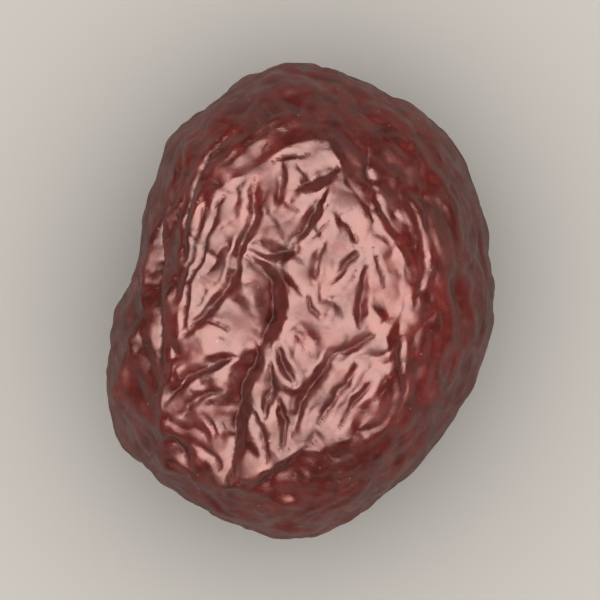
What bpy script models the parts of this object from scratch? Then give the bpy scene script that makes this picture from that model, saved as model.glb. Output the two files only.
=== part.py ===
"""A dried jujube, one solid as the real fruit is.

Metres, +Z up. The fruit lies on its side: its core runs along Y, with the stem end at +Y
and the blossom end at -Y, and it rests on one small flat spot in the plane Z = 0.
"""

import math

import bmesh
import bpy
import numpy as np

MM = 0.001

# The height of the form, in millimetres
CROWN_HEIGHT = 8.8  # from the widest level up to the top
CROWN_FULLNESS = 2.45  # 2 would make the crown a plain dome, and more flattens its top
BELLY_DEPTH = 8.7  # from the widest level down to where a round belly would end
FLAT_CUT = 0.5  # how much of the belly the flat resting spot takes off

# How far each end points below the horizontal
STEM_TILT = math.radians(18)
BLOSSOM_TILT = math.radians(8)

# The outline from above, (x, y) in millimetres from its middle, clockwise from the stem end
PLAN_OUTLINE = (
    (-0.80, 11.51),
    (1.00, 11.36),
    (2.75, 10.68),
    (4.72, 9.73),
    (6.94, 8.04),
    (8.47, 5.32),
    (9.15, 2.08),
    (9.15, -1.64),
    (7.96, -4.70),
    (5.92, -7.43),
    (3.88, -9.47),
    (1.50, -11.00),
    (-0.71, -11.51),
    (-3.26, -10.82),
    (-5.81, -9.29),
    (-8.30, -7.30),
    (-9.30, -4.20),
    (-9.00, -1.00),
    (-7.85, 2.08),
    (-7.34, 4.80),
    (-5.99, 8.04),
    (-3.26, 10.24),
)
CURVE_STEPS = 12  # points along each stretch of the outline

# Lengthwise furrows: (roll round the core in degrees from +X, first station, last station,
# depth in mm, half width in mm). The core runs through the stem end, at station 1, and the
# middle, at station 0.
FURROWS = (
    (140, -0.30, 0.42, 0.38, 1.00),
    (104, -0.62, 0.38, 0.22, 0.80),
    (66, -0.50, 0.20, 0.20, 0.90),
    (34, -0.30, 0.62, 0.28, 1.00),
    (-16, -0.68, 0.28, 0.32, 1.10),
    (-42, -0.25, 0.70, 0.30, 1.00),
    (-122, -0.30, 0.66, 0.28, 1.00),
    (-144, -0.70, 0.20, 0.30, 1.10),
    (-166, -0.45, 0.60, 0.30, 1.00),
)
FURROW_TWIST = math.radians(-14)  # roll gained from the middle of the core to the stem end
FURROW_END = 0.22  # share of the core over which a furrow fades out

# Broad dents where the drying flesh sank: (direction from the middle, radius and depth in mm)
DENTS = (
    ((-0.62, 0.30, 0.72), 3.4, 0.30),
    ((0.72, -0.40, 0.56), 3.2, 0.22),
    ((0.74, 0.34, -0.58), 3.6, 0.28),
    ((-0.72, 0.10, -0.68), 3.4, 0.30),
    ((0.10, -0.78, -0.62), 3.0, 0.22),
    ((0.18, 0.74, 0.64), 3.2, 0.20),
)

# The stem end, in millimetres from its middle
HOLLOW_RADIUS = 2.2
HOLLOW_DEPTH = 0.95
SCAR_RADIUS = 1.35
SCAR_WIDTH = 0.28
SCAR_HEIGHT = 0.24
PIP_RADIUS = 0.62
PIP_HEIGHT = 0.42
PUCKERS = 8
PUCKER_DEPTH = 0.16
PUCKER_RADIUS = 2.6
PUCKER_WIDTH = 1.0

# The blossom end, in millimetres from its middle
DIMPLE_RADIUS = 1.3
DIMPLE_DEPTH = 0.45
TIP_RADIUS = 0.45
TIP_HEIGHT = 0.22

# The belly stays smooth round the flat spot, where the skin was pressed: wrinkles start and
# are whole at these heights, -1 at the bottom and 0 at the widest level
PRESSED_BELOW = -0.86
WRINKLED_ABOVE = -0.55

# The sphere that the form starts from has its poles on the core
SEGMENTS = 56
RINGS = 56
POLE_CROWDING = 0.5  # 0 spaces the rings evenly, 1 crowds them into the ends

SKIN_COLOUR = (0.115, 0.022, 0.017, 1.0)
SKIN_ROUGHNESS = 0.42
SHARP_EDGE = math.radians(50)


def closed_curve(corners, steps):
    """Points on the smooth closed curve that runs through the corners."""
    points = []
    count = len(corners)
    for i in range(count):
        before, start, end, after = (np.array(corners[(i + k) % count]) for k in (-1, 0, 1, 2))
        for t in np.arange(steps) / steps:
            bend = (2 * before - 5 * start + 4 * end - after) * t**2
            twist = (3 * start - before - 3 * end + after) * t**3
            points.append(start + 0.5 * ((end - before) * t + bend + twist))
    return np.array(points)


def plan_radius(angles):
    """Distance from the middle to the outline at each angle round the vertical."""
    curve = closed_curve(PLAN_OUTLINE, CURVE_STEPS)
    curve_angles = np.arctan2(curve[:, 1], curve[:, 0])
    return np.interp(angles, curve_angles[::-1], np.hypot(*curve.T)[::-1], period=2 * math.pi)


def oval_radius(angles):
    """The same distance for a plain oval of the outline's length and width."""
    half_width, half_length = np.ptp(np.array(PLAN_OUTLINE), axis=0) / 2
    return 1 / np.hypot(np.cos(angles) / half_width, np.sin(angles) / half_length)


def fade(edge, full, values):
    """0 at the edge value, 1 at the full value, and smooth between them."""
    t = np.clip((values - edge) / (full - edge), 0, 1)
    return t * t * (3 - 2 * t)


def bump(distances, width):
    return np.exp(-((distances / width) ** 2))


def end_axes(tilt, towards):
    """The direction an end points in, towards +Y or -Y, and the two directions across it."""
    outward = np.array((0, towards * math.cos(tilt), -math.sin(tilt)))
    side = np.array((1.0, 0, 0))
    return outward, side, np.cross(side, outward)


def smooth_body(directions):
    """The fruit before any wrinkle: the plan outline turned into a dome and a belly."""
    x, y, z = directions.T
    angles = np.arctan2(y, x)
    oval = oval_radius(angles)
    level = np.hypot(x, y)
    # The outline's own corners fade out towards the crown and the belly
    reach = oval + (plan_radius(angles) - oval) * level**2
    # A fuller crown pushes each point out along its own line from the middle
    fuller = (level**CROWN_FULLNESS + np.abs(z) ** CROWN_FULLNESS) ** (-1 / CROWN_FULLNESS)
    swelling = np.where(z > 0, fuller, 1)
    height = np.where(z > 0, CROWN_HEIGHT, BELLY_DEPTH)
    return np.column_stack((x * reach, y * reach, z * height)) * swelling[:, None]


def furrow_depth(directions, body):
    core, side, up = end_axes(STEM_TILT, 1)
    station = directions @ core
    roll = np.arctan2(directions @ up, directions @ side) - FURROW_TWIST * station
    girth = np.hypot(body @ side, body @ up)
    depth = np.zeros(len(directions))
    for degrees, first, last, deepest, half_width in FURROWS:
        turn = (roll - math.radians(degrees) + math.pi) % (2 * math.pi) - math.pi
        length = fade(first, first + FURROW_END, station) * fade(last, last - FURROW_END, station)
        depth += deepest * length * bump(turn * girth, half_width)
    return depth


def dent_depth(directions, body):
    depth = np.zeros(len(directions))
    for direction, radius, deepest in DENTS:
        towards = np.array(direction) / np.linalg.norm(direction)
        centre = smooth_body(towards[None])[0]
        depth += deepest * bump(np.linalg.norm(body - centre, axis=1), radius)
    return depth


def stem_end_relief(body):
    """How far the hollow, the scar ring, the pip and the puckers move the skin at the stem end."""
    outward, side, up = end_axes(STEM_TILT, 1)
    across = np.hypot(body @ side, body @ up)
    around = np.arctan2(body @ up, body @ side)
    puckers = 0.5 - 0.5 * np.cos(PUCKERS * around)
    height = (
        -HOLLOW_DEPTH * bump(across, HOLLOW_RADIUS)
        + SCAR_HEIGHT * bump(across - SCAR_RADIUS, SCAR_WIDTH)
        + PIP_HEIGHT * np.sqrt(np.clip(1 - (across / PIP_RADIUS) ** 2, 0, 1))
        - PUCKER_DEPTH * puckers * bump(across - PUCKER_RADIUS, PUCKER_WIDTH)
    )
    return np.where(body @ outward > 0, height, 0)[:, None] * outward


def blossom_end_relief(body):
    """How far the dimple and its tip move the skin at the blossom end."""
    outward, side, up = end_axes(BLOSSOM_TILT, -1)
    across = np.hypot(body @ side, body @ up)
    height = TIP_HEIGHT * bump(across, TIP_RADIUS) - DIMPLE_DEPTH * bump(across, DIMPLE_RADIUS)
    return np.where(body @ outward > 0, height, 0)[:, None] * outward


def fruit_surface(directions):
    """The whole outside, before the flat spot, in millimetres from the middle."""
    body = smooth_body(directions)
    wrinkling = fade(PRESSED_BELOW, WRINKLED_ABOVE, directions[:, 2])
    depth = (furrow_depth(directions, body) + dent_depth(directions, body)) * wrinkling
    shrunk = body * (1 - depth / np.linalg.norm(body, axis=1))[:, None]
    return shrunk + stem_end_relief(body) + blossom_end_relief(body)


def sphere_directions(vertices):
    """Unit directions of a sphere's vertices, with its poles on the core and its rings crowded there."""
    points = np.array([vertex.co for vertex in vertices], float)
    polar = np.arccos(np.clip(points[:, 2], -1, 1))
    polar -= POLE_CROWDING * np.sin(2 * polar) / 2
    around = np.arctan2(points[:, 1], points[:, 0])
    core, side, up = end_axes(STEM_TILT, 1)
    across = np.cos(around)[:, None] * up + np.sin(around)[:, None] * side
    return np.cos(polar)[:, None] * core + np.sin(polar)[:, None] * across


def cut_flat_spot(shape, height):
    """Slices off what lies below the height and closes the fruit with one flat face."""
    everything = shape.verts[:] + shape.edges[:] + shape.faces[:]
    cut = bmesh.ops.bisect_plane(
        shape, geom=everything, plane_co=(0, 0, height), plane_no=(0, 0, -1), clear_outer=True
    )
    rim = [item for item in cut["geom_cut"] if isinstance(item, bmesh.types.BMEdge)]
    bmesh.ops.edgeloop_fill(shape, edges=rim)


def skin_material():
    material = bpy.data.materials.new("jujube_skin")
    material.use_nodes = True
    shader = material.node_tree.nodes["Principled BSDF"]
    shader.inputs["Base Color"].default_value = SKIN_COLOUR
    shader.inputs["Roughness"].default_value = SKIN_ROUGHNESS
    shader.inputs["Metallic"].default_value = 0
    material.diffuse_color = SKIN_COLOUR
    return material


def make_jujube(collection):
    shape = bmesh.new()
    bmesh.ops.create_uvsphere(shape, u_segments=SEGMENTS, v_segments=RINGS, radius=1)
    surface = fruit_surface(sphere_directions(shape.verts))
    for vertex, point in zip(shape.verts, surface):
        vertex.co = point * MM
    floor = (FLAT_CUT - BELLY_DEPTH) * MM
    cut_flat_spot(shape, floor)
    # The origin goes to the middle of the box's floor
    corners = np.array([vertex.co for vertex in shape.verts])
    middle = (corners.min(axis=0) + corners.max(axis=0)) / 2
    bmesh.ops.translate(shape, verts=shape.verts, vec=(-middle[0], -middle[1], -floor))
    bmesh.ops.recalc_face_normals(shape, faces=shape.faces)
    bmesh.ops.triangulate(shape, faces=shape.faces)
    mesh = bpy.data.meshes.new("jujube")
    shape.to_mesh(mesh)
    shape.free()
    mesh.shade_smooth()
    mesh.set_sharp_from_angle(angle=SHARP_EDGE)
    mesh.materials.append(skin_material())
    collection.objects.link(bpy.data.objects.new("jujube", mesh))


def main():
    for item in list(bpy.data.objects):
        bpy.data.objects.remove(item)
    collection = bpy.data.collections.new("jujube")
    bpy.context.scene.collection.children.link(collection)
    make_jujube(collection)


main()
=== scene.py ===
"""The looks of a small dried jujube: its wrinkled skin, its finish, and a plain studio round it.

The skin starts as a dense sphere that is laid on the CAD fruit and smoothed. Then it gets its relief:
the rim of the flat top and the creases, which are read off the photograph, smaller folds that noise
places all over, and the scars of both ends. Sizes inside the skin functions are in millimetres, and
z = 0 is the resting surface.
"""

import math

import bmesh
import bpy
import numpy as np
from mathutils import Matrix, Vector, noise
from mathutils.bvhtree import BVHTree


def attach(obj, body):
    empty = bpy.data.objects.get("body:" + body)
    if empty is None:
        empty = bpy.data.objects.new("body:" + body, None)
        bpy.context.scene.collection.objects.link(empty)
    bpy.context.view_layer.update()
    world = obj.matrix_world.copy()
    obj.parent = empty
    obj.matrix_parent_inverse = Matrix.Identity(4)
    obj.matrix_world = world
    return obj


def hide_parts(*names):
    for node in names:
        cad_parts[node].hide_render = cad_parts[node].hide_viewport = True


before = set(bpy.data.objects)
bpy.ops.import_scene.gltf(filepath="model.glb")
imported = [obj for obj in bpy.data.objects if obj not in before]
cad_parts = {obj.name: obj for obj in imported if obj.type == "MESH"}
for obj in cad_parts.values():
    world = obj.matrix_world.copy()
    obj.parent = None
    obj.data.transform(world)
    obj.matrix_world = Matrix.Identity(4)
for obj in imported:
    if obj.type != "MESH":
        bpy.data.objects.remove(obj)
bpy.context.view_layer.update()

MM = 0.001
NODE = "jujube"

# Without a seed, vector noise takes its pattern from the clock
NOISE_SEED = 1

# The dense sphere: quads along each side of the cube that it is blown up from, how much they crowd on its
# top, and the rounds of smoothing that take the CAD facets away
CELLS = 126
TOP_CROWDING = 0.32
FORM_SMOOTHING = 60

# Where the two ends point, below the horizontal, as in the CAD form
STEM_TILT = math.radians(18)
BLOSSOM_TILT = math.radians(8)
MIDDLE_HEIGHT = 8.2
FORM_MIDDLE = np.array((0, 0, MIDDLE_HEIGHT))
FAR = 99  # mm, more than any distance on the fruit

# The photograph: millimetres to a pixel, and the pixel at the middle of the fruit
PIXEL = 0.255
MIDDLE_PIXEL = (312.8, 278.85)

# The edge of the flat top, in pixels, clockwise from its upper end
PLATEAU_EDGE = (
    (311, 250.5),
    (318, 251),
    (320.5, 258),
    (326, 265),
    (331, 270.5),
    (331.5, 280),
    (328.5, 286),
    (328, 296),
    (322, 303.5),
    (311.5, 306.5),
    (303, 312.5),
    (296, 312.5),
    (288.5, 309),
    (288, 300),
    (290, 291),
    (289, 281),
    (291, 272),
    (296, 260),
    (303, 255.5),
)

# The swollen rim along that edge, in mm
RIM_HEIGHT = 0.36
RIM_INNER = 2.6  # how far it slopes inwards
RIM_OUTER = 1.1  # how far it slopes outwards
RIM_WAVER = 0.25  # how far noise shifts it sideways
RIM_WAVER_SIZE = 2.2  # of that noise
RIM_SHARES = (0.7, 1.2)  # its height varies between these shares
RIM_PATCH_SIZE = 3.0  # of the noise that varies it
RIM_LEVELS = (MIDDLE_HEIGHT, MIDDLE_HEIGHT + 4)  # the heights at which it starts and is whole

# Creases seen from above: (depth in mm, half width on the left and on the right in mm as one walks the
# crease, pixels that it runs through). A wide side slopes gently and a narrow one drops off.
CREASES = (
    (0.46, 0.50, 0.34, ((304.4, 257), (303.7, 264), (301.6, 270.5),
                        (300, 275.5), (296.4, 280), (291.6, 284.8))),
    (0.55, 0.60, 0.60, ((290.4, 253), (287.6, 261), (286.2, 270), (285.8, 280), (286.6, 291))),
    (1.10, 0.72, 0.92, ((304, 271.4), (307.6, 276.6), (308, 281.6), (305, 287))),
    (0.62, 0.60, 0.62, ((303.6, 268.4), (308, 270), (312.4, 269.4))),
    (0.46, 0.42, 0.36, ((311, 269.8), (313.8, 265), (317.2, 258.8))),
    (0.66, 0.66, 0.60, ((312.2, 258), (315, 256.8), (319, 254.2))),
    (0.22, 0.17, 0.17, ((308.4, 253.4), (311.4, 252.2), (314.6, 251.8))),
    (0.32, 0.28, 0.24, ((309.3, 254.6), (308.8, 258), (308.2, 261.4))),
    (0.42, 0.80, 0.60, ((319.8, 262.8), (321.8, 265.4), (323.8, 268.8))),
    (0.44, 0.28, 0.38, ((325.4, 273), (324.8, 277.6), (323.8, 283.6))),
    (0.24, 0.17, 0.18, ((326.4, 269.4), (328, 273), (328.6, 276.6))),
    (0.26, 0.30, 0.28, ((317.2, 268.8), (315.9, 271.8), (315.2, 274.8))),
    (0.28, 0.26, 0.28, ((323.8, 270.4), (321.2, 272.4), (318.6, 276))),
    (0.22, 0.22, 0.22, ((314.2, 277.4), (314, 280), (316.2, 282.6), (318.2, 281))),
    (0.52, 0.36, 0.50, ((326, 285.4), (320, 289), (316, 293.4), (313.2, 298), (312, 303))),
    (0.38, 0.28, 0.34, ((323.6, 291.2), (319.6, 295.8), (316.4, 301.4))),
    (0.28, 0.22, 0.28, ((326.4, 293.8), (323, 298), (320.2, 302.6))),
    (1.00, 0.52, 0.92, ((304.8, 286), (303.4, 291.6), (301.4, 297), (300.8, 302.6), (300, 310.6))),
    (0.44, 0.30, 0.46, ((303.6, 289.6), (297.4, 290.6), (292, 293.4), (288, 298.2))),
    (0.38, 0.26, 0.38, ((300, 295), (295, 296.2), (291, 300))),
    (0.38, 0.38, 0.30, ((307.8, 285.8), (309.4, 290.2), (311.8, 294.4))),
    (0.34, 0.28, 0.32, ((306.8, 289.8), (307.6, 295), (306, 300))),
    (0.34, 0.30, 0.30, ((304.4, 300.4), (306, 304.6), (306.8, 308.6))),
    (0.30, 0.28, 0.26, ((308.6, 298), (310, 302), (309.4, 306.2))),
    (0.48, 0.50, 0.46, ((288.8, 303.4), (290.6, 306.8), (292.6, 309.8))),
    (0.42, 0.42, 0.40, ((293, 305.8), (296, 308), (298.8, 310))),
    (0.26, 0.22, 0.18, ((294, 299), (296.6, 302.4), (297.2, 306.2))),
    (0.24, 0.26, 0.22, ((298.4, 260), (296.4, 265.6), (294.4, 270), (292.6, 275))),
    (0.34, 0.60, 0.56, ((299.6, 267.2), (297.8, 270.2), (295.8, 273.6))),
    (0.36, 0.85, 0.80, ((311, 284.4), (313.6, 287.4), (316.6, 290.8))),
    (0.32, 0.24, 0.22, ((292.2, 276.8), (291.6, 280.6), (291, 284))),
    (0.20, 0.17, 0.17, ((295, 282.6), (299.4, 284.4), (302.6, 287.8))),
    (0.34, 0.26, 0.40, ((300, 247.4), (295.4, 252.6), (293, 257.6), (291.2, 263.4), (290.8, 271))),
    (0.18, 0.26, 0.32, ((309, 246.6), (303.4, 249.2), (298.4, 254))),
    (0.16, 0.24, 0.32, ((333, 261), (335.5, 267), (336.2, 273), (334.2, 280))),
    (0.16, 0.22, 0.30, ((331.5, 284), (331, 290), (332.8, 295), (331.2, 301))),
    (0.15, 0.20, 0.30, ((326, 249), (325.4, 255), (326.8, 260), (330.6, 266))),
)

# The line of a crease or ridge, in mm
CREASE_STEP = 0.12  # from one of its points to the next
LINE_SMOOTHING = 6  # rounds that take its corners out
LINE_REACH = 3  # how far past its ends the skin is worked out
CREASE_WAVER = 0.22  # how far slow noise shifts it
CREASE_RAGGEDNESS = 0.11  # how far quick noise shifts it
RAGGEDNESS_SIZE = 0.45  # of the quick noise

# The form of a crease or ridge
EDGE_SHARPNESS = 5  # more makes its walls meet the skin beside it more sharply
END_CUT = 0.06  # the part of a half sine wave that is left off at each end
END_POWER = 0.6  # less than 1 keeps it deep nearly to its ends
END_WIDTH = 0.5  # its width at the ends as a share of the middle's
DEPTH_SHARES = (0.75, 1.2)  # its depth varies between these shares
DEPTH_PATCH_SIZE = 1.3  # of the noise that varies it, in mm

# Next to creases and ridges the folds that noise places are weaker: the distances in mm at which they
# are whole and are weakest, and the share that they lose there
CREASE_CALM = (0.9, 0.2)
RIDGE_CALM = (0.7, 0.2)
CALMED = 0.7

# Ridges that catch the light, given as the creases are, with a height in place of the depth
RIDGES = (
    (0.40, 0.90, 0.45, ((282.4, 283.6), (280.8, 289), (279.6, 294), (279, 299.6))),
    (0.22, 0.45, 0.28, ((284.6, 266), (284.2, 272), (283.8, 280))),
    (0.32, 0.70, 0.26, ((289.4, 261), (288, 265), (287.2, 269.6))),
    (0.22, 0.42, 0.22, ((294.6, 258.6), (293.2, 262), (292.4, 265.4))),
    (0.12, 0.50, 0.40, ((307, 247.6), (301.6, 250.6), (297.4, 254.6))),
    (0.10, 0.22, 0.22, ((304.6, 270.6), (309.4, 275.4), (311.4, 280.6))),
    (0.34, 0.40, 1.50, ((313, 306.6), (307.6, 309.4), (302.4, 312.6), (295, 313))),
)

# Folds that noise places: (spacing in mm, how many times longer than wide, lean in degrees at the top,
# depth in mm, half width on the steep and on the shallow side as rough shares of the spacing, how strong
# they are on the flat top, on the shoulder and on the belly)
FOLDS = (
    (3.2, 3.4, 12, 0.34, 0.07, 0.20, (0.25, 0.45, 1.0)),
    (1.7, 2.0, 32, 0.20, 0.14, 0.24, (0.7, 0.40, 0.7)),
    (1.4, 1.7, -30, 0.15, 0.15, 0.24, (0.6, 0.35, 0.6)),
    (0.9, 1.6, 18, 0.06, 0.16, 0.30, (1.0, 0.7, 0.9)),
)
FOLD_ROUNDNESS = 0.04  # of their floors, as such a share
FOLD_WAVER = 0.45  # how far slow noise bends them, in mm
WAVER_SIZE = 1.6  # of the slow noise, in mm
TOP_RADIUS = 8.5  # the radius at which they lean as given, in mm
FOLD_PATCHES = 1.6  # they come and go in patches, this many times their spacing in size
FOLD_PATCH_NOISE = (-0.45, 0.15)  # the noise at which a patch starts and is whole
TOP_EDGE = (0.8, -0.8)  # where the shoulder starts to turn and has turned into the flat top, in mm
BELLY_EDGE = (MIDDLE_HEIGHT - 0.5, MIDDLE_HEIGHT - 3.5)  # the same for the belly, as heights

# The unevenness between the folds: (spacing in mm, how many times longer than wide, height in mm)
SWELLS = (
    (2.0, 1.5, 0.22),
    (0.9, 1.2, 0.13),
)
SWELL_LEAN = 20  # degrees

# The folds grow from nothing to whole over these distances in mm from the middle of each end, and from a
# share to the whole over these heights above the flat spot, where the skin was pressed
STEM_CALM = (1.6, 3.2)
BLOSSOM_CALM = (0.8, 2.0)
PRESSED = (0.25, 1.6)
PRESSED_SHARE = 0.25

# The stem end, in millimetres from its middle
SCAR_RADIUS = 1.35
SCAR_WIDTH = 0.15
SCAR_HEIGHT = 0.20
PIP_RADIUS = 0.42
PIP_HEIGHT = 0.34
CUP_DEPTH = 0.25
CUP_FLOOR = 0.8  # share of the scar's radius
PUCKERS = 11
PUCKER_DEPTH = 0.20
PUCKER_RADIUS = 2.5
PUCKER_WIDTH = 0.9
PUCKER_POWER = 6  # more makes the puckers of both ends narrower
PUCKER_WAVER = 3  # how far slow noise bends them, in radians of their wave
CORK_REACH = (2.0, 4.4)  # of the corky skin at the puckers, and of an arm between two of them
CORK_POWER = 3  # more makes the arms narrower
CORK_LENGTH = 0.6  # a usual arm's, as a share
CORK_VARIETY = 0.8  # how much noise changes that share
CORK_PATCH_SIZE = 1.2  # of that noise
CORK_SOFTNESS = 0.6  # of the corky skin's edge

# The blossom end, in millimetres from its middle
TIP_RADIUS = 0.42
TIP_HEIGHT = 0.20
TIP_PUCKERS = 9
TIP_PUCKER_DEPTH = 0.10
TIP_PUCKER_RADIUS = 1.2
TIP_PUCKER_WIDTH = 0.7

# How far an upright wall leans over the hollow beside it, in mm, which swells what stands proud
PINCH = 0.03

# What the material reads off the relief
CAVITY_SMOOTHING = 30  # rounds that give the height of a point's surroundings
CAVITY_SPAN = 0.5  # from the highest to the lowest that is told apart, in mm
SEAM_BEND = (0.08, 0.26)  # the upward bend at which a crease's floor starts and is whole


def lerp(start, end, share):
    return start + (end - start) * share


def fade(edge, full, values):
    """0 at the edge value, 1 at the full value, and smooth between them."""
    t = np.clip((values - edge) / (full - edge), 0, 1)
    return t * t * (3 - 2 * t)


def bump(distances, width):
    return np.exp(-((distances / width) ** 2))


def unit(vectors):
    return vectors / np.linalg.norm(vectors, axis=-1, keepdims=True)


def noise_field(points, size, offset=0.0):
    """Smooth noise from -1 to 1, with features of about this size in mm. Each offset is another pattern."""
    return np.array([noise.noise(Vector(p) / size + Vector((offset, 0, 0))) for p in points])


def noise_vectors(points, size):
    """Three values of smooth noise for each point, the same in every run."""
    noise.seed_set(NOISE_SEED)
    return np.array([noise.noise_vector(Vector(p) / size) for p in points])


class Skin:
    """A closed grid of quads with numpy arrays of its points and edges."""

    def __init__(self, cells):
        shape = bmesh.new()
        bmesh.ops.create_cube(shape, size=2)
        bmesh.ops.subdivide_edges(shape, edges=shape.edges[:], cuts=cells - 1, use_grid_fill=True)
        self.mesh = bpy.data.meshes.new(NODE)
        shape.to_mesh(self.mesh)
        shape.free()
        count = len(self.mesh.vertices)
        cube = np.empty(count * 3)
        self.mesh.vertices.foreach_get("co", cube)
        # The tangent spreads the quads evenly over the sphere, and the rest crowds them on its top
        even = unit(np.tan(cube.reshape(-1, 3) * math.pi / 4))
        closer = 1 + TOP_CROWDING * even[:, 2]
        level = even[:, :2] * math.sqrt(1 - TOP_CROWDING**2) / closer[:, None]
        self.points = np.column_stack((level, (even[:, 2] + TOP_CROWDING) / closer))
        edges = np.empty(len(self.mesh.edges) * 2, np.int64)
        self.mesh.edges.foreach_get("vertices", edges)
        self.near, self.far = edges.reshape(-1, 2).T
        self.links = np.bincount(edges, minlength=count)
        quads = np.empty(len(self.mesh.polygons) * 4, np.int64)
        self.mesh.polygons.foreach_get("vertices", quads)
        self.quads = quads.reshape(-1, 4)

    def neighbour_mean(self, values):
        total = np.zeros_like(values)
        for a, b in ((self.near, self.far), (self.far, self.near)):
            if values.ndim == 1:
                total += np.bincount(a, values[b], len(values))
            else:
                total += np.column_stack([np.bincount(a, column[b], len(column)) for column in values.T])
        return total / (self.links if values.ndim == 1 else self.links[:, None])

    def smoothed(self, values, rounds):
        for _ in range(rounds):
            values = (values + self.neighbour_mean(values)) / 2
        return values

    def normals(self):
        corners = self.points[self.quads]
        faces = np.cross(corners[:, 2] - corners[:, 0], corners[:, 3] - corners[:, 1])
        total = np.zeros_like(self.points)
        for corner in self.quads.T:
            total += np.column_stack([np.bincount(corner, side, len(total)) for side in faces.T])
        return unit(total)

    def spacing(self):
        """The mean length of the edges that meet in each point."""
        lengths = np.linalg.norm(self.points[self.near] - self.points[self.far], axis=1)
        total = sum(np.bincount(ends, lengths, len(self.points)) for ends in (self.near, self.far))
        return total / self.links

    def finish(self):
        """Writes the points, in metres, to the mesh."""
        self.mesh.vertices.foreach_set("co", (self.points * MM).ravel())
        self.mesh.update()
        self.mesh.shade_smooth()

    def attribute(self, name, values):
        layer = self.mesh.attributes.new(name, "FLOAT", "POINT")
        layer.data.foreach_set("value", values)


def lay_on_form(skin, node):
    """Moves each point of the sphere straight out to the CAD fruit, then smooths the facets away."""
    tree = BVHTree.FromObject(node, bpy.context.evaluated_depsgraph_get())
    start = Vector(FORM_MIDDLE * MM)
    reach = np.array([tree.ray_cast(start, Vector(d))[3] for d in skin.points]) / MM
    # The smoothing leaves the stem end's hollow but not its scar, which shape_skin makes afresh
    skin.points = FORM_MIDDLE + skin.points * skin.smoothed(reach, FORM_SMOOTHING)[:, None]


def end_frame(tilt, towards):
    """The direction an end points in, and the two directions across it."""
    outward = np.array((0, towards * math.cos(tilt), -math.sin(tilt)))
    side = np.array((1.0, 0, 0))
    return outward, side, np.cross(side, outward)


def end_coordinates(points, tilt, towards):
    """Distance from an end's middle line and angle round it; far away on the other half of the fruit."""
    outward, side, up = end_frame(tilt, towards)
    arms = points - FORM_MIDDLE
    across = np.hypot(arms @ side, arms @ up)
    across[arms @ outward < 0] = FAR
    return across, np.arctan2(arms @ up, arms @ side)


def in_plan(pixel):
    """Where a pixel of the photograph lies, in millimetres from the middle of the fruit."""
    return np.array(((pixel[0] - MIDDLE_PIXEL[0]) * PIXEL, (MIDDLE_PIXEL[1] - pixel[1]) * PIXEL))


def plateau_gap(points):
    """How far outside the flat top's edge each point is, seen from above; less than 0 inside it."""
    corners = np.array([in_plan(pixel) for pixel in PLATEAU_EDGE])
    middle = corners.mean(axis=0)
    arms = corners - middle
    angles = np.arctan2(arms[:, 1], arms[:, 0])
    order = np.argsort(angles)
    away = points[:, :2] - middle
    turns = np.arctan2(away[:, 1], away[:, 0])
    edge = np.interp(turns, angles[order], np.hypot(*arms[order].T), period=2 * math.pi)
    return np.where(points[:, 2] > MIDDLE_HEIGHT, np.hypot(*away.T) - edge, FAR)


def rim_height(points, gap):
    """The swollen rim of the flat top, which slopes gently inside its edge and steeply outside."""
    uneven = lerp(*RIM_SHARES, 0.5 + noise_field(points, RIM_PATCH_SIZE, offset=4.1))
    slant = np.where(gap < 0, np.exp(gap / RIM_INNER), np.exp(-gap / RIM_OUTER))
    return RIM_HEIGHT * uneven * slant


def line_on_top(skin, pixels):
    """Points along a smooth curve through the pixels, dropped onto the top of the fruit."""
    corners = np.array([in_plan(pixel) for pixel in pixels])
    lengths = np.r_[0, np.cumsum(np.linalg.norm(np.diff(corners, axis=0), axis=1))]
    steps = np.linspace(0, lengths[-1], max(3, round(lengths[-1] / CREASE_STEP)))
    flat = np.column_stack([np.interp(steps, lengths, column) for column in corners.T])
    top = np.flatnonzero(skin.points[:, 2] > MIDDLE_HEIGHT)
    away = np.linalg.norm(skin.points[top, None, :2] - flat[None], axis=2)
    line = np.column_stack((flat, skin.points[top[away.argmin(axis=0)], 2]))
    for _ in range(LINE_SMOOTHING):
        line[1:-1] = (line[:-2] + 2 * line[1:-1] + line[2:]) / 4
    return line, steps / lengths[-1]


def along_line(skin, places, left, right, pixels):
    """1 on the line through the pixels, falling off within the left and right half widths beside it and
    towards its ends, and the distance from it. The rest of the fruit isn't worked out."""
    line, shares = line_on_top(skin, pixels)
    middle = line.mean(axis=0)
    span = np.linalg.norm(line - middle, axis=1).max() + LINE_REACH
    close = np.flatnonzero(np.linalg.norm(places - middle, axis=1) < span)
    nearest = np.linalg.norm(places[close, None] - line[None], axis=2).argmin(axis=1)
    course = unit(np.gradient(line, axis=0))[nearest]
    offset = places[close] - line[nearest]
    # The nearest spot lies between the line's points, up to half a step from the nearest one
    along = np.clip((offset * course).sum(axis=1), -CREASE_STEP / 2, CREASE_STEP / 2)
    gap = np.linalg.norm(offset - along[:, None] * course, axis=1)
    on_left = course[:, 0] * offset[:, 1] > course[:, 1] * offset[:, 0]
    # A crease is widest and deepest at its middle and runs out at its ends
    share = np.clip(shares[nearest] + along / (CREASE_STEP * len(line)), 0, 1)
    strength = np.sin(math.pi * (END_CUT + (1 - 2 * END_CUT) * share)) ** END_POWER
    width = np.where(on_left, left, right) * lerp(END_WIDTH, 1, strength)
    # The walls are straight and their upper edges round
    wall = np.logaddexp(0, EDGE_SHARPNESS * (1 - gap / width)) / EDGE_SHARPNESS
    return close, strength * wall, gap


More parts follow.
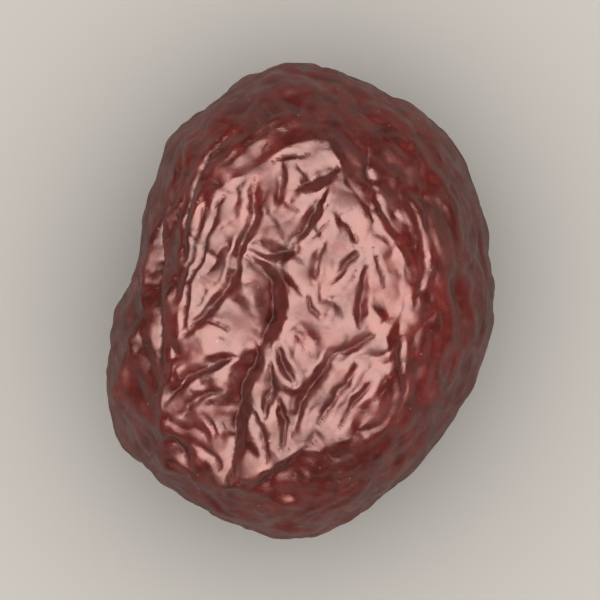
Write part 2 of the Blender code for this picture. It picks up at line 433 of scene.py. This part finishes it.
def crease_relief(skin, waver):
    """Depth of the creases and ridges that the photograph shows, and how near each point is to one."""
    depth = np.zeros(len(skin.points))
    rise = np.zeros(len(skin.points))
    nearness = np.zeros(len(skin.points))
    ragged = noise_vectors(skin.points, RAGGEDNESS_SIZE)
    places = skin.points + waver * CREASE_WAVER + ragged * CREASE_RAGGEDNESS
    uneven = lerp(*DEPTH_SHARES, 0.5 + noise_field(skin.points, DEPTH_PATCH_SIZE, offset=9.1))
    for deepest, left, right, pixels in CREASES:
        close, valley, gap = along_line(skin, places, left, right, pixels)
        depth[close] = np.maximum(depth[close], deepest * valley)
        nearness[close] = np.maximum(nearness[close], fade(*CREASE_CALM, gap))
    for highest, left, right, pixels in RIDGES:
        close, crest, gap = along_line(skin, places, left, right, pixels)
        rise[close] = np.maximum(rise[close], highest * crest)
        nearness[close] = np.maximum(nearness[close], fade(*RIDGE_CALM, gap))
    return (depth - rise) * uneven, nearness


def stretched(points, longer, lean):
    """The points with the fruit's length shortened and leaning, so that round cells there come out long."""
    outward, side, up = end_frame(STEM_TILT, 1)
    arms = points - FORM_MIDDLE
    along = arms @ outward
    across, height = arms @ side, arms @ up
    turn = -math.tan(math.radians(lean)) * along / TOP_RADIUS
    return np.column_stack((
        across * np.cos(turn) - height * np.sin(turn),
        across * np.sin(turn) + height * np.cos(turn),
        along / longer,
    ))


def fold_relief(skin, waver, gap, nearness):
    """Depth of the folds that noise places over the whole skin."""
    depth = np.zeros(len(skin.points))
    top = fade(*TOP_EDGE, gap)
    belly = fade(*BELLY_EDGE, skin.points[:, 2])
    for number, (spacing, longer, lean, deepest, steep, shallow, zones) in enumerate(FOLDS):
        places = stretched(skin.points + waver * FOLD_WAVER, longer, lean)
        value = noise_field(places, spacing, offset=11.3 + 7.7 * number)
        away = np.hypot(value, FOLD_ROUNDNESS) - FOLD_ROUNDNESS
        valley = np.exp(-away / np.where(value > 0, steep, shallow))
        patches = noise_field(skin.points, FOLD_PATCHES * spacing, offset=3.3 + number)
        strength = fade(*FOLD_PATCH_NOISE, patches)
        on_top, on_shoulder, on_belly = zones
        strength *= lerp(lerp(on_shoulder, on_top, top), on_belly, belly)
        depth += deepest * strength * valley * (1 - CALMED * nearness)
    for number, (spacing, longer, highest) in enumerate(SWELLS):
        places = stretched(skin.points, longer, SWELL_LEAN)
        depth -= highest * noise_field(places, spacing, offset=51.7 + 5.9 * number)
    return depth


def puckered(turn):
    """1 along the floor of each pucker and 0 halfway between two."""
    return np.abs(np.cos(turn / 2)) ** PUCKER_POWER


def press_stem_end(height, across, turn):
    """Adds the scar's ring, the cup in it, the pip and the puckers round it to the height."""
    height += SCAR_HEIGHT * bump(across - SCAR_RADIUS, SCAR_WIDTH)
    height -= CUP_DEPTH * fade(SCAR_RADIUS, CUP_FLOOR * SCAR_RADIUS, across)
    height += PIP_HEIGHT * np.sqrt(np.clip(1 - (across / PIP_RADIUS) ** 2, 0, 1))
    height -= PUCKER_DEPTH * puckered(turn) * bump(across - PUCKER_RADIUS, PUCKER_WIDTH)


def press_blossom_end(height, across, turn):
    """Adds the tip and the puckers round it to the height."""
    height += TIP_HEIGHT * bump(across, TIP_RADIUS)
    height -= TIP_PUCKER_DEPTH * puckered(turn) * bump(across - TIP_PUCKER_RADIUS, TIP_PUCKER_WIDTH)


def note_relief(skin, height, stem, stem_turn, blossom):
    """Gives the mesh what the material reads: hollows, crease floors, both ends and the corky skin."""
    cavity = skin.smoothed(height, CAVITY_SMOOTHING) - height
    skin.attribute("cavity", np.clip(0.5 + cavity / CAVITY_SPAN, 0, 1))
    bend = (skin.neighbour_mean(height) - height) / skin.spacing()
    skin.attribute("seam", fade(*SEAM_BEND, bend))
    skin.attribute("stem", stem)
    skin.attribute("blossom", blossom)
    length = CORK_LENGTH + CORK_VARIETY * noise_field(skin.points, CORK_PATCH_SIZE)
    arms = lerp(*CORK_REACH, np.abs(np.sin(stem_turn / 2)) ** CORK_POWER * length)
    skin.attribute("cork", fade(arms + CORK_SOFTNESS, arms - CORK_SOFTNESS, stem))


def shape_skin(skin):
    """Gives the smooth skin its rim, creases, folds and scars, and notes what the material needs."""
    edge_gap = plateau_gap(skin.points + noise_vectors(skin.points, RIM_WAVER_SIZE) * RIM_WAVER)
    rim = rim_height(skin.points, edge_gap) * fade(*RIM_LEVELS, skin.points[:, 2])
    skin.points = skin.points + skin.normals() * rim[:, None]
    normals = skin.normals()
    waver = noise_vectors(skin.points, WAVER_SIZE)
    creases, nearness = crease_relief(skin, waver)
    folds = fold_relief(skin, waver, edge_gap, nearness)
    stem, stem_angle = end_coordinates(skin.points, STEM_TILT, 1)
    blossom, blossom_angle = end_coordinates(skin.points, BLOSSOM_TILT, -1)
    # Both ends have relief of their own, and the flat spot was pressed smooth
    calm = fade(*STEM_CALM, stem) * fade(*BLOSSOM_CALM, blossom)
    unpressed = fade(*PRESSED, skin.points[:, 2])
    height = -creases - folds * calm * lerp(PRESSED_SHARE, 1, unpressed)
    stem_turn = PUCKERS * stem_angle + PUCKER_WAVER * waver[:, 0]
    press_stem_end(height, stem, stem_turn)
    press_blossom_end(height, blossom, TIP_PUCKERS * blossom_angle + PUCKER_WAVER * waver[:, 1])
    skin.points = skin.points + normals * height[:, None]
    tilted = skin.normals()
    sideways = tilted - normals * (tilted * normals).sum(axis=1)[:, None]
    skin.points = skin.points + sideways * PINCH
    # Nothing reaches below the surface that the fruit rests on
    skin.points[:, 2] = np.maximum(skin.points[:, 2], 0)
    skin.finish()
    note_relief(skin, height, stem, stem_turn, blossom)


class Nodes:
    """Short names for making and joining shader nodes."""

    def __init__(self, material):
        material.use_nodes = True
        self.tree = material.node_tree
        self.shader = self.tree.nodes["Principled BSDF"]

    def add(self, kind, inputs=None, **settings):
        node = self.tree.nodes.new(kind)
        for name, value in settings.items():
            setattr(node, name, value)
        for name, value in (inputs or {}).items():
            self.set(node.inputs[name], value)
        return node

    def set(self, socket, value):
        if isinstance(value, bpy.types.NodeSocket):
            self.tree.links.new(value, socket)
        else:
            socket.default_value = value

    def noise(self, place, per_mm, detail=4, roughness=0.55):
        """Noise from 0 to 1 with about this many features to a millimetre."""
        inputs = {"Vector": place, "Scale": per_mm / MM, "Detail": detail, "Roughness": roughness}
        return self.add("ShaderNodeTexNoise", inputs).outputs["Fac"]

    def attribute(self, name):
        return self.add("ShaderNodeAttribute", attribute_name=name).outputs["Fac"]

    def span(self, value, low, high, to_low=0.0, to_high=1.0):
        """Carries the value from the range low to high over to the other range, and holds it there."""
        inputs = {"Value": value, "From Min": low, "From Max": high, "To Min": to_low, "To Max": to_high}
        return self.add("ShaderNodeMapRange", inputs).outputs["Result"]

    def math(self, operation, first, second=0.0):
        node = self.add("ShaderNodeMath", operation=operation)
        self.set(node.inputs[0], first)
        self.set(node.inputs[1], second)
        return node.outputs[0]

    def mix(self, share, first, second):
        node = self.add("ShaderNodeMix", data_type="RGBA")
        self.set(node.inputs["Factor"], share)
        self.set(node.inputs["A"], first)
        self.set(node.inputs["B"], second)
        return node.outputs["Result"]

    def band(self, value, middle, half_width):
        """1 at the middle value, and 0 from half a width away."""
        away = self.math("ABSOLUTE", self.math("SUBTRACT", value, middle))
        return self.span(away, half_width, 0.0)


def colour(red, green, blue):
    return (red, green, blue, 1.0)


# The skin's darkest colour (also the painted shade in its hollows), its two main ones, the dust and painted
# sheen on what stands proud, and the corky skin
DEEP = colour(0.0110, 0.0020, 0.0017)
MAROON = colour(0.030, 0.0034, 0.0028)
RED = colour(0.052, 0.0054, 0.0043)
DUST_AND_SHEEN = colour(0.060, 0.028, 0.024)
CORK = colour(0.115, 0.080, 0.063)
# The stem scar's ring, its pip, and the specks
RING = colour(0.26, 0.20, 0.155)
IVORY = colour(0.38, 0.30, 0.19)
SPECK = colour(0.105, 0.060, 0.045)
# The skin's gloss is strong and warm
SPECULAR_TINT = colour(1.0, 0.73, 0.66)
SPECULAR_LEVEL = 0.8

# The finest grain, which is left to bump
GRAIN_PER_MM = 3.2
GRAIN_HEIGHT = 0.06  # in mm
GRAIN_STRENGTH = 0.3
SPECKS_PER_MM = 2.1  # cells along a millimetre that may hold a speck
SPECK_BARE = 0.55  # the share of the cells that hold none
SPECK_EDGE = (0.15, 0.07)  # how far from its middle a speck starts and is whole, in cells
SPECK_TINT = 0.7
SPECK_HEIGHT = 0.5  # as a share of the grain's


def skin_material():
    material = bpy.data.materials.new("jujube_skin_look")
    nodes = Nodes(material)
    place = nodes.add("ShaderNodeTexCoord").outputs["Object"]
    cavity = nodes.attribute("cavity")
    patches = nodes.noise(place, 0.16, detail=3)
    mottle = nodes.noise(place, 1.1, detail=6, roughness=0.65)
    base = nodes.mix(nodes.span(patches, 0.36, 0.66), MAROON, RED)
    base = nodes.mix(nodes.span(mottle, 0.42, 0.70, 0.0, 0.75), base, DEEP)
    # Painted shade: the hollows and crease floors are darkened towards the darkest colour
    base = nodes.mix(nodes.span(cavity, 0.55, 0.95, 0.0, 0.5), base, DEEP)
    # Dust and painted sheen: what stands proud is made paler and greyer
    proud = nodes.span(cavity, 0.52, 0.30)
    dust_and_sheen = nodes.math("MULTIPLY", proud, nodes.span(mottle, 0.62, 0.40, 0.02, 0.14))
    base = nodes.mix(dust_and_sheen, base, DUST_AND_SHEEN)
    base, speck_height = add_specks(nodes, place, base)
    base = add_end_colours(nodes, place, base)
    nodes.set(nodes.shader.inputs["Base Color"], base)
    nodes.set(nodes.shader.inputs["Roughness"], skin_roughness(nodes, place))
    nodes.set(nodes.shader.inputs["Specular IOR Level"], SPECULAR_LEVEL)
    nodes.set(nodes.shader.inputs["Specular Tint"], SPECULAR_TINT)
    pebbles = nodes.noise(place, GRAIN_PER_MM, detail=3, roughness=0.6)
    grain = nodes.math("ADD", pebbles, speck_height)
    relief = {"Strength": GRAIN_STRENGTH, "Distance": GRAIN_HEIGHT * MM, "Height": grain}
    nodes.set(nodes.shader.inputs["Normal"], nodes.add("ShaderNodeBump", relief).outputs["Normal"])
    return material


def skin_roughness(nodes, place):
    """Satin skin with duller patches, dull cork and creases, and a bloom that shows at a grazing view."""
    rough = nodes.span(nodes.noise(place, 0.9, detail=5), 0.3, 0.7, 0.22, 0.36)
    facing = nodes.add("ShaderNodeLayerWeight").outputs["Facing"]
    matte = nodes.span(nodes.noise(place, 0.7), 0.44, 0.66, 0.0, 0.30)
    for extra in (
        nodes.math("MULTIPLY", matte, nodes.span(nodes.attribute("cavity"), 0.70, 0.50)),
        nodes.math("MULTIPLY", nodes.attribute("cork"), 0.25),
        nodes.math("MULTIPLY", nodes.attribute("seam"), 0.70),
        nodes.span(facing, 0.60, 0.95, 0.0, 0.30),
    ):
        rough = nodes.math("ADD", rough, extra)
    return rough


def add_specks(nodes, place, base):
    """Small pale lenticels, each a tiny raised dot."""
    inputs = {"Vector": place, "Scale": SPECKS_PER_MM / MM, "Randomness": 1.0}
    dots = nodes.add("ShaderNodeTexVoronoi", inputs, feature="F1")
    chance = nodes.add("ShaderNodeSeparateColor", {"Color": dots.outputs["Color"]}).outputs["Red"]
    shape = nodes.span(dots.outputs["Distance"], *SPECK_EDGE)
    speck = nodes.math("MULTIPLY", shape, nodes.span(chance, SPECK_BARE, 1.0))
    tinted = nodes.mix(nodes.math("MULTIPLY", speck, SPECK_TINT), base, SPECK)
    return tinted, nodes.math("MULTIPLY", speck, SPECK_HEIGHT)


def add_end_colours(nodes, place, base):
    """Greyish corky skin round the stem scar, its pale ring and ivory pip, and the brown blossom tip."""
    cloud = nodes.noise(place, 1.6, detail=5, roughness=0.7)
    fine = nodes.noise(place, 4.0, detail=3)
    stem = nodes.math("ADD", nodes.attribute("stem"), nodes.span(fine, 0.3, 0.7, -0.10, 0.10))
    cork = nodes.math("MULTIPLY", nodes.attribute("cork"), nodes.span(cloud, 0.32, 0.58, 0.1, 0.95))
    base = nodes.mix(cork, base, CORK)
    base = nodes.mix(nodes.span(stem, SCAR_RADIUS, 0.85 * SCAR_RADIUS, 0.0, 0.85), base, DEEP)
    base = nodes.mix(nodes.band(stem, SCAR_RADIUS, 0.2), base, RING)
    base = nodes.mix(nodes.span(stem, 1.1 * PIP_RADIUS, 0.85 * PIP_RADIUS), base, IVORY)
    blossom = nodes.math("ADD", nodes.attribute("blossom"), nodes.span(fine, 0.3, 0.7, -0.15, 0.15))
    return nodes.mix(nodes.span(blossom, 0.9, 0.3, 0.0, 0.8), base, CORK)


def make_jujube():
    skin = Skin(CELLS)
    lay_on_form(skin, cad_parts[NODE])
    shape_skin(skin)
    fruit = bpy.data.objects.new("wrinkled_jujube", skin.mesh)
    bpy.context.scene.collection.objects.link(fruit)
    skin.mesh.materials.append(skin_material())
    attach(fruit, "root")
    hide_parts(NODE)


# The studio, in metres: round soft boxes straight above, which the camera looks through
CAMERA_HEIGHT = 0.36
FRAME_SIZE = 0.0288  # what the picture spans at the height of the fruit's middle
FLOOR_SIZE = 4.0
FLOOR_DROP = 0.00002  # keeps the floor's face off the flat spot's
FLOOR_COLOUR = colour(0.118, 0.111, 0.102)
FLOOR_ROUGHNESS = 0.85
# The height of each soft box, half the angle that it fills and its power in watts
LIGHTS = (
    (0.35, math.radians(50), 8.0),
    (0.34, math.radians(43), 4.5),
)
WORLD_COLOUR = colour(1.0, 0.92, 0.86)
WORLD_STRENGTH = 0.16
VIEW_GAMMA = 0.85


def make_camera():
    camera = bpy.data.cameras.new("camera")
    level = MIDDLE_HEIGHT * MM
    camera.lens = camera.sensor_width * (CAMERA_HEIGHT - level) / FRAME_SIZE
    camera.clip_end = 10
    holder = bpy.data.objects.new("camera", camera)
    holder.location = (0, 0, CAMERA_HEIGHT)
    bpy.context.scene.collection.objects.link(holder)
    bpy.context.scene.camera = holder


def make_lights():
    for height, half_angle, power in LIGHTS:
        light = bpy.data.lights.new("soft_box", "AREA")
        light.shape = "DISK"
        light.size = 2 * height * math.tan(half_angle)
        light.energy = power
        holder = bpy.data.objects.new("soft_box", light)
        holder.location = (0, 0, height)
        holder.visible_camera = False
        bpy.context.scene.collection.objects.link(holder)


def make_floor():
    shape = bmesh.new()
    bmesh.ops.create_grid(shape, x_segments=1, y_segments=1, size=FLOOR_SIZE / 2)
    mesh = bpy.data.meshes.new("floor")
    shape.to_mesh(mesh)
    shape.free()
    floor = bpy.data.objects.new("floor", mesh)
    floor.location.z = -FLOOR_DROP
    bpy.context.scene.collection.objects.link(floor)
    material = bpy.data.materials.new("pale_floor")
    shader = Nodes(material).shader
    shader.inputs["Base Color"].default_value = FLOOR_COLOUR
    shader.inputs["Roughness"].default_value = FLOOR_ROUGHNESS
    mesh.materials.append(material)


def make_world():
    world = bpy.data.worlds.new("studio")
    world.use_nodes = True
    background = world.node_tree.nodes["Background"]
    background.inputs["Color"].default_value = WORLD_COLOUR
    background.inputs["Strength"].default_value = WORLD_STRENGTH
    bpy.context.scene.world = world


make_camera()
make_jujube()
make_floor()
make_lights()
make_world()
bpy.context.scene.view_settings.view_transform = "Standard"
bpy.context.scene.view_settings.gamma = VIEW_GAMMA
